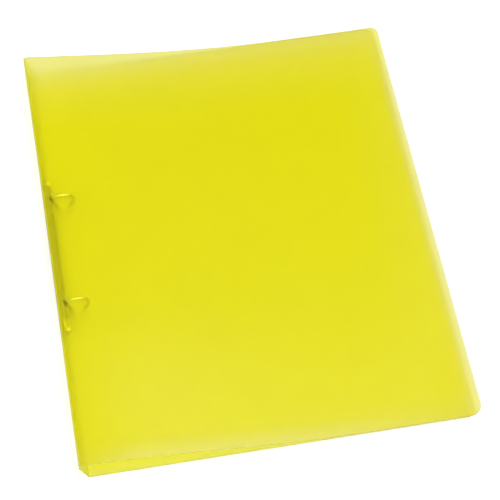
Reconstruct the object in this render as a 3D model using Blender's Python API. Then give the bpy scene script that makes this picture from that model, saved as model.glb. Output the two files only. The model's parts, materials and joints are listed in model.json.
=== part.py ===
"""A two-ring A4 binder of creased polypropylene sheet, closed and lying on its back cover.

The origin is the middle of the back cover's underside. +X runs from the spine to the fore edge,
+Y to the head of the binder and +Z up. All lengths are in metres, written as millimetres times MM.
"""

import math

import bmesh
import bpy
from mathutils import Matrix, Vector

MM = 0.001
NEAR = 0.001 * MM  # points closer than this are one point
AXIS_MARK = 10.0 * MM  # drawn size of the empties that mark the joints

# The creased sheet
SHEET = 0.8 * MM
COVER_LENGTH = 312.0 * MM
BACK_WIDTH = 241.0 * MM  # from the back fold to the fore edge
FRONT_WIDTH = 249.6 * MM  # from the front fold to the fore edge, as it lies
SPINE_WIDTH = 20.5 * MM  # from fold to fold
SPINE_LEAN = math.radians(14.0)  # how far the spine leans out from upright
CORNER_RADIUS = 6.0 * MM
CORNER_STEPS = 6
FOLD_CLEARANCE = 0.8 * MM  # each panel stops this far from the fold line
DRAPE_LENGTH = 180.0 * MM  # the front cover touches the back cover this far from its fold
DRAPE_STEPS = 15
HEAD_STEPS = 5
RING_HOLD = 9.0 * MM  # past the head ring the front cover stays held up for this far
REST_GAP = 0.3 * MM  # clearance between pieces that lie on each other

# The rings
RING_SPACING = 80.0 * MM
RING_BORE = 11.6 * MM
RING_WIRE = 2.2 * MM
RING_DROP = 0.28 * MM  # the rings stand this far below midway, because they rise as they open
RING_TIP_GAP = 0.3 * MM
RING_STEPS = 18
WIRE_SIDES = 12
TENON_RADIUS = 0.75 * MM
TENON_CLEARANCE = 0.2 * MM
ROOT_OFFSET = 3.6 * MM  # from the mechanism's centre line to a half-ring's tenon
HEEL_LENGTH = 0.8 * MM  # the wire runs on this far past its tenon

# The arched plate
PLATE_LENGTH = 118.0 * MM
PLATE_WIDTH = 12.4 * MM
PLATE_RISE = 4.4 * MM
PLATE_SHOULDER = 2.4 * MM  # height at which the sides turn into the arch
PLATE_STEEL = 0.7 * MM
LIP_WIDTH = 1.0 * MM
LIP_HEIGHT = 0.5 * MM
FOOT_LENGTH = 5.0 * MM
FOOT_WIDTH = 9.0 * MM
RAMP_LENGTH = 4.0 * MM
RAMP_STEPS = 4
ARCH_STEPS = 12
SLOT_MARGIN = 0.6 * MM  # clearance round a half-ring where it passes the plate

# The two blades
BLADE_STEEL = 0.8 * MM
BLADE_TILT = math.radians(5.5)  # the closed blades dip towards the centre line
BLADE_CLEARANCE = 0.3 * MM
BLADE_MIDDLE_GAP = 0.5 * MM
PIVOT_INSET = 0.2 * MM  # from a blade's outer edge to the line it turns about

# The rivets
RIVET_SHANK_RADIUS = 1.5 * MM
RIVET_HOLE_CLEARANCE = 0.3 * MM
RIVET_HEAD_RADIUS = 4.0 * MM
RIVET_HEAD_HEIGHT = 0.9 * MM
RIVET_CLENCH_RADIUS = 2.4 * MM
RIVET_CLENCH_HEIGHT = 0.7 * MM
RIVET_BORE_RADIUS = 0.9 * MM
RIVET_ARC_STEPS = 5
ROUND_STEPS = 24

# Places worked out from the sizes above
HALF_SHEET = SHEET / 2
BACK_FOLD = Vector((-BACK_WIDTH / 2, 0, HALF_SHEET))
SPINE_UP = Vector((-math.sin(SPINE_LEAN), 0, math.cos(SPINE_LEAN)))
FRONT_FOLD = BACK_FOLD + SPINE_UP * SPINE_WIDTH
FRONT_REST = SHEET + REST_GAP + HALF_SHEET  # mid-height of the front cover where it lies flat

WIRE_RADIUS = RING_WIRE / 2
RING_RADIUS = RING_BORE / 2 + WIRE_RADIUS
SIDE_INSIDE = PLATE_WIDTH / 2 - PLATE_STEEL
BLADE_EDGE = SIDE_INSIDE - BLADE_CLEARANCE
PIVOT_OFFSET = BLADE_EDGE - PIVOT_INSET
PIVOT_HEIGHT = REST_GAP + LIP_HEIGHT + BLADE_CLEARANCE + BLADE_STEEL / 2
HEEL_OFFSET = ROOT_OFFSET - HEEL_LENGTH
HEEL_HEIGHT = PIVOT_HEIGHT + BLADE_STEEL / 2 + WIRE_RADIUS + REST_GAP
RING_HEIGHT = HEEL_HEIGHT + math.sqrt(RING_RADIUS**2 - HEEL_OFFSET**2)
ROOT_HEIGHT = RING_HEIGHT - math.sqrt(RING_RADIUS**2 - ROOT_OFFSET**2)
ARCH_HALF = PLATE_LENGTH / 2 - FOOT_LENGTH - RAMP_LENGTH
RIVET_PLACE = PLATE_LENGTH / 2 - FOOT_LENGTH / 2
RING_PLACES = {"head": RING_SPACING / 2, "tail": -RING_SPACING / 2}
RIVET_PLACES = {"head": RIVET_PLACE, "tail": -RIVET_PLACE}
SIDES = {"front": 1, "back": -1}
HEAD_DRAPE_START = RING_SPACING / 2 + RING_HOLD


def drape_height(reach, fall):
    """Mid-height of the front cover at a reach from its fold.

    fall is 0 where the rings hold the sheet level at the fold, and 1 at the head, where it falls
    straight away.
    """
    if reach >= DRAPE_LENGTH:
        return FRONT_REST
    share = reach / DRAPE_LENGTH
    held = (1 + math.cos(math.pi * share)) / 2
    falling = 1 - math.sin(math.pi / 2 * share)
    return FRONT_REST + (FRONT_FOLD.z - FRONT_REST) * (held * (1 - fall) + falling * fall)


def head_fall(along):
    """How freely the front cover falls at a place along the binder: 0 at the rings, 1 at the head."""
    share = (along - HEAD_DRAPE_START) / (COVER_LENGTH / 2 - HEAD_DRAPE_START)
    share = min(max(share, 0.0), 1.0)
    return share * share * (3 - 2 * share)


def mechanism_place():
    """Distance up the spine at which the rings stand just under midway between the covers."""
    ring_reach = HALF_SHEET + RING_HEIGHT
    cover_reach = ring_reach * math.cos(SPINE_LEAN) + SPINE_WIDTH / 2 * math.sin(SPINE_LEAN)
    ceiling = drape_height(cover_reach, 0) - HALF_SHEET
    ring_middle = (SHEET + ceiling) / 2 - RING_DROP
    return (ring_middle - HALF_SHEET - ring_reach * math.sin(SPINE_LEAN)) / math.cos(SPINE_LEAN)


def clear_scene():
    for old in list(bpy.data.objects):
        bpy.data.objects.remove(old, do_unlink=True)


def make_material(name, colour, roughness, metallic=0.0, transmission=0.0):
    material = bpy.data.materials.new(name)
    material.use_nodes = True
    shader = material.node_tree.nodes["Principled BSDF"]
    shader.inputs["Base Color"].default_value = (*colour, 1)
    shader.inputs["Roughness"].default_value = roughness
    shader.inputs["Metallic"].default_value = metallic
    shader.inputs["Transmission Weight"].default_value = transmission
    return material


def place_empty(name, location, parent=None):
    empty = bpy.data.objects.new(name, None)
    empty.empty_display_size = AXIS_MARK
    empty.location = location
    empty.parent = parent
    bpy.context.collection.objects.link(empty)
    return empty


def place_mesh(name, bm, material, parent=None, location=(0, 0, 0), smooth_angle=30):
    bmesh.ops.recalc_face_normals(bm, faces=bm.faces)
    mesh = bpy.data.meshes.new(name)
    bm.to_mesh(mesh)
    bm.free()
    mesh.shade_smooth()
    mesh.set_sharp_from_angle(angle=math.radians(smooth_angle))
    mesh.materials.append(material)
    piece = bpy.data.objects.new(name, mesh)
    piece.parent = parent
    piece.location = location
    bpy.context.collection.objects.link(piece)
    return piece


def place_cutter(name, bm, parent):
    cutter = place_mesh(name, bm, STEEL, parent)
    cutter.hide_render = True
    cutter.display_type = "WIRE"
    return cutter


def add_boolean(piece, operation, other):
    boolean = piece.modifiers.new(f"{operation}_{other.name}".lower(), "BOOLEAN")
    boolean.operation = operation
    boolean.solver = "EXACT"
    boolean.object = other


def box_mesh(low, high):
    """A box between two corners."""
    low = Vector(low)
    high = Vector(high)
    bm = bmesh.new()
    bmesh.ops.create_cube(bm, size=1)
    bmesh.ops.scale(bm, vec=high - low, verts=bm.verts)
    bmesh.ops.translate(bm, vec=(low + high) / 2, verts=bm.verts)
    return bm


def join_mesh(bm, other):
    """Adds another bmesh's pieces to bm."""
    copy = bpy.data.meshes.new("joined")
    other.to_mesh(copy)
    other.free()
    bm.from_mesh(copy)
    bpy.data.meshes.remove(copy)


def turned_mesh(profile):
    """A solid turned about the local X axis from (height, radius) points that start and end on it."""
    bm = bmesh.new()
    points = [bm.verts.new((height, radius, 0)) for height, radius in profile]
    edges = [bm.edges.new(pair) for pair in zip(points, points[1:])]
    bmesh.ops.spin(
        bm,
        geom=points + edges,
        axis=(1, 0, 0),
        cent=(0, 0, 0),
        angle=2 * math.pi,
        steps=ROUND_STEPS,
        use_merge=True,
    )
    bmesh.ops.remove_doubles(bm, verts=bm.verts, dist=NEAR)
    return bm


def panel_mesh(low_x, high_x, radius):
    """A flat panel face at z 0 with its two corners at high_x rounded."""
    half = COVER_LENGTH / 2
    bm = bmesh.new()
    corners = [(low_x, -half), (high_x, -half), (high_x, half), (low_x, half)]
    verts = [bm.verts.new((x, y, 0)) for x, y in corners]
    bm.faces.new(verts)
    bmesh.ops.bevel(
        bm,
        geom=verts[1:3],
        offset=radius,
        affect="VERTICES",
        segments=CORNER_STEPS,
        profile=0.5,
        material=-1,
    )
    return bm


def cut_across(bm, along_x, along_y):
    """Cuts the panel's faces at the given places."""
    for normal, places in (((1, 0, 0), along_x), ((0, 1, 0), along_y)):
        for place in places:
            bmesh.ops.bisect_plane(
                bm,
                geom=bm.verts[:] + bm.edges[:] + bm.faces[:],
                plane_co=Vector(normal) * place,
                plane_no=normal,
                dist=NEAR,
            )


def thicken(piece, thickness):
    solidify = piece.modifiers.new("sheet", "SOLIDIFY")
    solidify.thickness = thickness
    solidify.offset = 0
    solidify.use_even_offset = True


def make_back_cover():
    bm = panel_mesh(FOLD_CLEARANCE, BACK_WIDTH, CORNER_RADIUS)
    cover = place_mesh("back_cover", bm, POLYPROPYLENE, location=BACK_FOLD)
    thicken(cover, SHEET)


def make_spine(spine_frame):
    half = COVER_LENGTH / 2
    bm = box_mesh(
        (-HALF_SHEET, -half, FOLD_CLEARANCE),
        (HALF_SHEET, half, SPINE_WIDTH - FOLD_CLEARANCE),
    )
    return place_mesh("spine", bm, POLYPROPYLENE, spine_frame)


def make_front_cover(front_frame):
    bm = panel_mesh(FOLD_CLEARANCE, FRONT_WIDTH, CORNER_RADIUS)
    reaches = [DRAPE_LENGTH * step / DRAPE_STEPS for step in range(1, DRAPE_STEPS + 1)]
    head_part = COVER_LENGTH / 2 - HEAD_DRAPE_START
    alongs = [HEAD_DRAPE_START + head_part * step / HEAD_STEPS for step in range(HEAD_STEPS)]
    cut_across(bm, reaches, alongs)
    for vert in bm.verts:
        vert.co.z = drape_height(vert.co.x, head_fall(vert.co.y)) - FRONT_FOLD.z
    cover = place_mesh("front_cover", bm, POLYPROPYLENE, front_frame)
    thicken(cover, SHEET)


def plate_section(flat):
    """The plate's cross-section as (height, offset) points. flat is 0 at the arch and 1 at a foot."""
    half_width = PLATE_WIDTH / 2 * (1 - flat) + FOOT_WIDTH / 2 * flat
    shoulder = (PLATE_SHOULDER - REST_GAP) * (1 - flat)
    crown = (PLATE_RISE - PLATE_SHOULDER) * (1 - flat)
    inner_half = half_width - PLATE_STEEL * (1 - flat)
    outer = []
    inner = []
    for step in range(ARCH_STEPS + 1):
        turn = math.pi * step / ARCH_STEPS
        rise = REST_GAP + shoulder + crown * math.sin(turn)
        outer.append((rise + PLATE_STEEL * flat, half_width * math.cos(turn)))
        inner.append((rise - PLATE_STEEL * (1 - flat), inner_half * math.cos(turn)))
    # At a foot the two skirt points lie at a third and two thirds of the steel, in a slightly proud edge.
    skirt = PLATE_STEEL / 3 * flat
    outer_skirt = half_width + skirt
    inner_skirt = inner_half + skirt
    outer = [(REST_GAP + skirt * 2, outer_skirt)] + outer + [(REST_GAP + skirt * 2, -outer_skirt)]
    inner = [(REST_GAP + skirt, inner_skirt)] + inner + [(REST_GAP + skirt, -inner_skirt)]
    return outer + inner[::-1]


def plate_mesh():
    """The arched sheet, brought down to a flat foot at each end."""
    ramp = []
    for step in range(RAMP_STEPS + 1):
        share = step / RAMP_STEPS
        ramp.append((ARCH_HALF + RAMP_LENGTH * share, share * share * (3 - 2 * share)))
    ends = ramp + [(PLATE_LENGTH / 2, 1.0)]
    stations = [(-along, flat) for along, flat in reversed(ends)] + ends
    bm = bmesh.new()
    rows = []
    for along, flat in stations:
        rows.append([bm.verts.new((height, along, offset)) for height, offset in plate_section(flat)])
    count = len(rows[0])
    for row, after in zip(rows, rows[1:]):
        for i in range(count):
            j = (i + 1) % count
            bm.faces.new((row[i], row[j], after[j], after[i]))
    for row in (rows[0], rows[-1]):
        half = count // 2
        for i in range(half - 1):
            bm.faces.new((row[i], row[i + 1], row[count - 2 - i], row[count - 1 - i]))
    return bm


def lip_mesh(side):
    """The turned-in edge under one side of the plate, which holds a blade's outer edge."""
    outer = PLATE_WIDTH / 2 - PLATE_STEEL / 2
    inner = SIDE_INSIDE - LIP_WIDTH
    low, high = sorted((side * outer, side * inner))
    return box_mesh((REST_GAP, -ARCH_HALF, low), (REST_GAP + LIP_HEIGHT, ARCH_HALF, high))


def slots_mesh():
    """The notches through which the half-rings pass the plate."""
    bm = bmesh.new()
    inner = HEEL_OFFSET * (1 - WIRE_RADIUS / RING_RADIUS) - SLOT_MARGIN
    outer = PLATE_WIDTH / 2 + SLOT_MARGIN
    half = WIRE_RADIUS + SLOT_MARGIN
    bottom = REST_GAP + LIP_HEIGHT + BLADE_CLEARANCE
    top = PLATE_RISE + SLOT_MARGIN
    for along in RING_PLACES.values():
        for side in SIDES.values():
            low, high = sorted((side * inner, side * outer))
            join_mesh(bm, box_mesh((bottom, along - half, low), (top, along + half, high)))
    return bm


def rivet_holes_mesh():
    """Round cutters on the rivets' axes, longer than the plate and the spine together."""
    bm = bmesh.new()
    radius = RIVET_SHANK_RADIUS + RIVET_HOLE_CLEARANCE
    reach = SHEET + PLATE_RISE
    for along in RIVET_PLACES.values():
        hole = turned_mesh([(-reach, 0), (-reach, radius), (reach, radius), (reach, 0)])
        bmesh.ops.translate(hole, vec=(0, along, 0), verts=hole.verts)
        join_mesh(bm, hole)
    return bm


def make_plate(mechanism, holes):
    plate = place_mesh("ring_plate", plate_mesh(), STEEL, mechanism)
    for name, side in SIDES.items():
        add_boolean(plate, "UNION", place_cutter(f"lip_{name}", lip_mesh(side), mechanism))
    add_boolean(plate, "DIFFERENCE", place_cutter("ring_slots", slots_mesh(), mechanism))
    add_boolean(plate, "DIFFERENCE", holes)


def make_blade(name, side, pivot):
    """One long blade, flat in its own frame and dipped towards the centre line."""
    inner = PIVOT_OFFSET - BLADE_MIDDLE_GAP / 2
    low, high = sorted((side * (BLADE_EDGE - PIVOT_OFFSET), -side * inner))
    half_length = ARCH_HALF - BLADE_CLEARANCE
    bm = box_mesh((-BLADE_STEEL / 2, -half_length, low), (BLADE_STEEL / 2, half_length, high))
    blade = place_mesh(f"blade_{name}", bm, STEEL, pivot)
    blade.rotation_euler.y = side * BLADE_TILT
    holes = bmesh.new()
    radius = TENON_RADIUS + TENON_CLEARANCE
    reach = BLADE_STEEL
    for along in RING_PLACES.values():
        hole = turned_mesh([(-reach, 0), (-reach, radius), (reach, radius), (reach, 0)])
        bmesh.ops.translate(hole, vec=(0, along, -side * (PIVOT_OFFSET - ROOT_OFFSET)), verts=hole.verts)
        join_mesh(holes, hole)
    cutter = place_cutter(f"blade_{name}_holes", holes, pivot)
    cutter.rotation_euler.y = blade.rotation_euler.y
    add_boolean(blade, "DIFFERENCE", cutter)


def half_ring_mesh(side):
    """A half-ring of round wire, from its tip away from the spine to its root on the blade."""
    middle = Vector((RING_HEIGHT - PIVOT_HEIGHT, 0, -side * PIVOT_OFFSET))
    tip_turn = math.asin(RING_TIP_GAP / 2 / RING_RADIUS)
    heel_turn = math.pi - math.asin(HEEL_OFFSET / RING_RADIUS)
    bm = bmesh.new()
    bmesh.ops.create_circle(bm, segments=WIRE_SIDES, radius=WIRE_RADIUS)
    bmesh.ops.rotate(bm, cent=(0, 0, 0), matrix=Matrix.Rotation(side * tip_turn, 3, "Y"), verts=bm.verts)
    tip = Vector((math.cos(tip_turn), 0, side * math.sin(tip_turn))) * RING_RADIUS
    bmesh.ops.translate(bm, vec=middle + tip, verts=bm.verts)
    bmesh.ops.spin(
        bm,
        geom=bm.verts[:] + bm.edges[:],
        cent=middle,
        axis=(0, -side, 0),
        angle=heel_turn - tip_turn,
        steps=RING_STEPS,
    )
    ends = [edge for edge in bm.edges if edge.is_boundary]
    bmesh.ops.holes_fill(bm, edges=ends, sides=0)
    return bm


def make_half_ring(name, side, pivot, along):
    ring = place_mesh(name, half_ring_mesh(side), STEEL, pivot, (0, along, 0))
    root = ROOT_HEIGHT - PIVOT_HEIGHT
    bottom = -BLADE_STEEL / 2 - (PIVOT_OFFSET - ROOT_OFFSET) * math.tan(BLADE_TILT)
    tenon = turned_mesh([(bottom, 0), (bottom, TENON_RADIUS), (root, TENON_RADIUS), (root, 0)])
    bmesh.ops.translate(tenon, vec=(0, along, -side * (PIVOT_OFFSET - ROOT_OFFSET)), verts=tenon.verts)
    add_boolean(ring, "UNION", place_cutter(f"{name}_tenon", tenon, pivot))


def make_rivet(name, mechanism, along):
    """A tubular rivet: a domed head outside the spine, and a rim rolled over on the plate's foot."""
    rim_low = REST_GAP + PLATE_STEEL + REST_GAP
    rim_middle = (RIVET_BORE_RADIUS + RIVET_CLENCH_RADIUS) / 2
    rim_half = (RIVET_CLENCH_RADIUS - RIVET_BORE_RADIUS) / 2
    head_high = -SHEET - REST_GAP
    rim = []
    head = []
    for step in range(RIVET_ARC_STEPS + 1):
        turn = math.pi * step / RIVET_ARC_STEPS
        rim_rise = RIVET_CLENCH_HEIGHT * math.sin(turn)
        rim.append((rim_low + rim_rise, rim_middle - rim_half * math.cos(turn)))
        dome_rise = RIVET_HEAD_HEIGHT * math.sin(turn / 2)
        head.append((head_high - dome_rise, RIVET_HEAD_RADIUS * math.cos(turn / 2)))
    bore = [(head_high, 0), (head_high, RIVET_BORE_RADIUS)]
    shank = [(rim_low, RIVET_SHANK_RADIUS), (head_high, RIVET_SHANK_RADIUS)]
    place_mesh(name, turned_mesh(bore + rim + shank + head), STEEL, mechanism, (0, along, 0))


def build():
    clear_scene()
    make_back_cover()

    spine_frame = place_empty("spine_frame", BACK_FOLD)
    spine_frame.rotation_euler.y = -SPINE_LEAN
    spine = make_spine(spine_frame)
    make_front_cover(place_empty("front_fold", FRONT_FOLD))

    mechanism = place_empty("mechanism", (HALF_SHEET, 0, mechanism_place()), spine_frame)
    holes = place_cutter("rivet_holes", rivet_holes_mesh(), mechanism)
    add_boolean(spine, "DIFFERENCE", holes)
    make_plate(mechanism, holes)
    for end, along in RIVET_PLACES.items():
        make_rivet(f"{end}_rivet", mechanism, along)
    for name, side in SIDES.items():
        pivot = place_empty(f"pivot_{name}", (PIVOT_HEIGHT, 0, side * PIVOT_OFFSET), mechanism)
        make_blade(name, side, pivot)
        for end, along in RING_PLACES.items():
            make_half_ring(f"{end}_ring_{name}_half", side, pivot, along)


POLYPROPYLENE = make_material("yellow_polypropylene", (0.78, 0.74, 0.01), 0.4, transmission=0.6)
STEEL = make_material("nickel_plated_steel", (0.62, 0.61, 0.57), 0.25, metallic=1.0)
build()
bpy.context.view_layer.update()
for empty in ("spine_frame", "front_fold", "mechanism", "pivot_front", "pivot_back"):
    place = bpy.data.objects[empty].matrix_world.translation
    print(f"{empty} at {place.x:.5f}, {place.y:.5f}, {place.z:.5f}")
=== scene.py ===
# %% [markdown]
# # A frosted ring binder, dressed for its picture
#
# The binder is one sheet of yellow polypropylene, creased into a back cover, a spine and a front
# cover, with a steel ring mechanism riveted to the spine. A solid model of every piece, with its
# joints, already exists. This lesson loads that model as a fixed frame and builds the finished
# surfaces round it, so nothing here is moved or resized to fit.

# %% Load the frame
import json
import math

import bmesh
import bpy
from mathutils import Matrix, Vector


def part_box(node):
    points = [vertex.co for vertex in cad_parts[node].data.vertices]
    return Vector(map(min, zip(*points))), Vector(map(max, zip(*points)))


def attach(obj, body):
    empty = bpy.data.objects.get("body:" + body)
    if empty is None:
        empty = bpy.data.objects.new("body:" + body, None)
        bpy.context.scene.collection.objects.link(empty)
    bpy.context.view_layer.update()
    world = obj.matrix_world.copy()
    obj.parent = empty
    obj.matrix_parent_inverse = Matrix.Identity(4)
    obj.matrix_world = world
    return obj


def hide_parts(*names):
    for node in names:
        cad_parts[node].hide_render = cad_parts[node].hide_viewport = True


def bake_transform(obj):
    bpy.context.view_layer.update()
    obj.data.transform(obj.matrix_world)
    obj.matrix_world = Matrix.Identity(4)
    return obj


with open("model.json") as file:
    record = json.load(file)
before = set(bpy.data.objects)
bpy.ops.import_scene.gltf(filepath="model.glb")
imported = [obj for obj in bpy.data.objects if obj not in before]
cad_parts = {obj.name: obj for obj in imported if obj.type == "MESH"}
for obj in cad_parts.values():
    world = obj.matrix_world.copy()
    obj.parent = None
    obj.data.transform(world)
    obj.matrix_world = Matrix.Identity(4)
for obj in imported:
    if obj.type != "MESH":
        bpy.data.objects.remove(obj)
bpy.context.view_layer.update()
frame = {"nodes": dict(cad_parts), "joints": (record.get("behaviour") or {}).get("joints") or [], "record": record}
nodes = frame["nodes"]
record = frame["record"]
joints = {joint["name"]: joint for joint in frame["joints"]}

# %% [markdown]
# ## The camera
#
# The picture was taken from in front and well above, with a long lens. A camera could be placed by
# eye, but then the pieces would be bent to suit it. This one was fitted to the straight edges of the
# covers, so it is given as a point to look at, two angles and a distance. Blender's lens is in
# millimetres on a 36 mm sensor, which we work out from the focal length in pixels of the 500 pixel
# frame.

# %% Camera
MM = 0.001
LOOK_AT = Vector((3.2, -12.3, 0.0)) * MM
VIEW_AZIMUTH = math.radians(-9.91)
VIEW_ELEVATION = math.radians(57.61)
VIEW_DISTANCE = 1141.6 * MM
FRAME_PIXELS = 500
FOCAL_PIXELS = 1744.3
SENSOR_WIDTH = 36.0

view_back = Vector(
    (
        math.sin(VIEW_AZIMUTH) * math.cos(VIEW_ELEVATION),
        -math.cos(VIEW_AZIMUTH) * math.cos(VIEW_ELEVATION),
        math.sin(VIEW_ELEVATION),
    )
)
camera = bpy.data.objects.new("camera", bpy.data.cameras.new("camera"))
camera.data.sensor_width = SENSOR_WIDTH
camera.data.lens = SENSOR_WIDTH * FOCAL_PIXELS / FRAME_PIXELS
camera.location = LOOK_AT + view_back * VIEW_DISTANCE
camera.rotation_mode = "QUATERNION"
camera.rotation_quaternion = (-view_back).to_track_quat("-Z", "Y")
bpy.context.scene.collection.objects.link(camera)
bpy.context.scene.camera = camera
bpy.context.scene.view_settings.view_transform = "Standard"
print("camera at", [round(value, 4) for value in camera.location])

# %% [markdown]
# ## Helpers for node trees
#
# Materials are built from nodes. Each node could be added and wired line by line, but that hides what
# a material does. With a few small helpers one call adds a node and sets or links its inputs, and
# each material is short enough to read from top to bottom.

# %% Node helpers
MIX_SOCKETS = {"FLOAT": (2, 3, 0), "RGBA": (6, 7, 2)}


def feed(tree, socket, value):
    """Links a socket to value where that is another node's output, and otherwise sets it."""
    if isinstance(value, bpy.types.NodeSocket):
        tree.links.new(value, socket)
    else:
        socket.default_value = value


def add_node(tree, kind, settings=None, **inputs):
    """Adds a node. settings are its own properties, inputs its sockets by name, with _ for a space."""
    node = tree.nodes.new(kind)
    for key, value in (settings or {}).items():
        setattr(node, key, value)
    for key, value in inputs.items():
        feed(tree, node.inputs[key.replace("_", " ")], value)
    return node


def add_math(tree, operation, first, second=0.0, clamp=False):
    """A Math node on two values or links."""
    node = add_node(tree, "ShaderNodeMath", {"operation": operation, "use_clamp": clamp})
    feed(tree, node.inputs[0], first)
    feed(tree, node.inputs[1], second)
    return node.outputs[0]


def add_range(tree, value, low, high, to_low=0.0, to_high=1.0):
    """A smooth Map Range from low..high to to_low..to_high."""
    node = add_node(
        tree,
        "ShaderNodeMapRange",
        {"interpolation_type": "SMOOTHSTEP"},
        Value=value,
        From_Min=low,
        From_Max=high,
        To_Min=to_low,
        To_Max=to_high,
    )
    return node.outputs["Result"]


def add_mix(tree, share, first, second, kind="RGBA"):
    """A Mix node. It has sockets of its own for each kind of data, so they are found by number."""
    node = add_node(tree, "ShaderNodeMix", {"data_type": kind})
    first_socket, second_socket, result = MIX_SOCKETS[kind]
    feed(tree, node.inputs[0], share)
    feed(tree, node.inputs[first_socket], first)
    feed(tree, node.inputs[second_socket], second)
    return node.outputs[result]


def add_blend(tree, share, first, second):
    """A Mix node on two values in place of two colours."""
    return add_mix(tree, share, first, second, "FLOAT")


def start_material(name):
    """A material with an empty tree and its output node."""
    material = bpy.data.materials.new(name)
    material.use_nodes = True
    material.node_tree.nodes.clear()
    output = material.node_tree.nodes.new("ShaderNodeOutputMaterial")
    return material, material.node_tree, output


print("mix nodes for:", ", ".join(MIX_SOCKETS))

# %% [markdown]
# ## The floor
#
# The binder lies on a white floor. Its sheet is frosted and lets light through, so what stands behind
# it decides its colour. A plain white plane would turn grey under soft light and take the yellow down
# with it, so the Light Path node tells which kind of ray asks. A ray that has come through the sheet
# finds a floor that is part glowing and part lit paint: the glow gives the clear yellow, and the paint
# takes the soft shadow of the rings. Camera and glossy rays find paint with a stronger glow, which
# makes the background white and keeps a faint shadow. That glow grows away from the binder, until the
# floor is as white as the room.
#
# The floor lies a little below the back cover, because the heads of the rivets turn underneath when
# the binder is opened flat.

# %% Floor
FLOOR_DROP = 1.3 * MM
FLOOR_REACH = 4.0
FLOOR_PAINT = 0.45
FLOOR_GLOW = 0.76
FLOOR_GLOW_FAR = 1.0
FLOOR_GLOW_BAND = (0.45, 1.6)
FLOOR_PAINT_BELOW = 0.4
FLOOR_GLOW_BELOW = 0.52


def add_lit_glow(tree, paint, glow):
    """Diffuse paint with a glow added. glow is a number or a link."""
    lit = add_node(tree, "ShaderNodeBsdfDiffuse", Color=(paint, paint, paint, 1))
    shine = add_node(tree, "ShaderNodeEmission", Strength=glow)
    both = tree.nodes.new("ShaderNodeAddShader")
    tree.links.new(lit.outputs[0], both.inputs[0])
    tree.links.new(shine.outputs[0], both.inputs[1])
    return both.outputs[0]


def make_floor_material():
    material, tree, output = start_material("studio_floor")
    path = tree.nodes.new("ShaderNodeLightPath")
    seen = add_math(tree, "MAXIMUM", path.outputs["Is Camera Ray"], path.outputs["Is Glossy Ray"])
    place = tree.nodes.new("ShaderNodeTexCoord").outputs["Object"]
    distance = add_node(tree, "ShaderNodeVectorMath", {"operation": "LENGTH"}, Vector=place)
    glow = add_range(tree, distance.outputs["Value"], *FLOOR_GLOW_BAND, FLOOR_GLOW, FLOOR_GLOW_FAR)
    above = add_lit_glow(tree, FLOOR_PAINT, add_math(tree, "MULTIPLY", seen, glow))
    below = add_lit_glow(tree, FLOOR_PAINT_BELOW, FLOOR_GLOW_BELOW)
    choice = tree.nodes.new("ShaderNodeMixShader")
    tree.links.new(path.outputs["Is Transmission Ray"], choice.inputs[0])
    tree.links.new(above, choice.inputs[1])
    tree.links.new(below, choice.inputs[2])
    tree.links.new(choice.outputs[0], output.inputs["Surface"])
    return material


def make_floor():
    bm = bmesh.new()
    bmesh.ops.create_grid(bm, x_segments=1, y_segments=1, size=FLOOR_REACH)
    bmesh.ops.translate(bm, vec=(0, 0, -FLOOR_DROP), verts=bm.verts)
    mesh = bpy.data.meshes.new("studio_floor")
    bm.to_mesh(mesh)
    bm.free()
    mesh.materials.append(make_floor_material())
    floor = bpy.data.objects.new("studio_floor", mesh)
    bpy.context.scene.collection.objects.link(floor)


make_floor()
print("floor:", FLOOR_DROP / MM, "mm below the back cover")

# %% [markdown]
# ## The room
#
# The room is the world's background, white to the camera. Rays that have come through the sheet find
# it bright too, with a brighter ceiling that the rings mirror. Reflections on the outside of the sheet
# and on bare steel find it bright at the horizon and dim overhead. One even white would be simpler,
# but a broad white ceiling would lie over the yellow as a milky haze.

# %% Room
ROOM_SEEN = 1.0
ROOM_LIGHT = 0.28
ROOM_HORIZON = 0.8
ROOM_CEILING = 1.68
ROOM_CEILING_BAND = (0.3, 0.75)
ROOM_MIRRORED_CEILING = 0.012
ROOM_MIRRORED_BAND = (0.35, 0.78)


def make_room():
    room = bpy.data.worlds.new("studio_room")
    room.use_nodes = True
    tree = room.node_tree
    tree.nodes.clear()
    path = tree.nodes.new("ShaderNodeLightPath")
    direction = tree.nodes.new("ShaderNodeTexCoord")
    axes = add_node(tree, "ShaderNodeSeparateXYZ", Vector=direction.outputs["Generated"])
    height = axes.outputs["Z"]
    mirrored = add_range(tree, height, *ROOM_MIRRORED_BAND, ROOM_HORIZON, ROOM_MIRRORED_CEILING)
    through = add_range(tree, height, *ROOM_CEILING_BAND, ROOM_HORIZON, ROOM_CEILING)
    strength = add_blend(tree, path.outputs["Is Glossy Ray"], ROOM_LIGHT, mirrored)
    strength = add_blend(tree, path.outputs["Is Transmission Ray"], strength, through)
    strength = add_blend(tree, path.outputs["Is Camera Ray"], strength, ROOM_SEEN)
    sky = add_node(tree, "ShaderNodeBackground", Color=(1, 1, 1, 1), Strength=strength)
    output = tree.nodes.new("ShaderNodeOutputWorld")
    tree.links.new(sky.outputs[0], output.inputs["Surface"])
    bpy.context.scene.world = room


make_room()
print("room:", bpy.context.scene.world.name)

# %% [markdown]
# ## The lamps
#
# One large softbox hangs above, to the right, so that its broad mirror image lies over the near right
# of the cover and pales it there. A weaker one at the left fills the shadows. Rays that have come
# through the sheet don't see the lamps, only the even ceiling, which keeps the picture free of grain.

# %% Lamps
LAMPS = {
    "softbox": {"place": (0.32, 0.02, 1.1), "size": 0.6, "watts": 9.0},
    "fill": {"place": (-0.9, -0.5, 0.8), "size": 0.7, "watts": 4.0},
}


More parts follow.
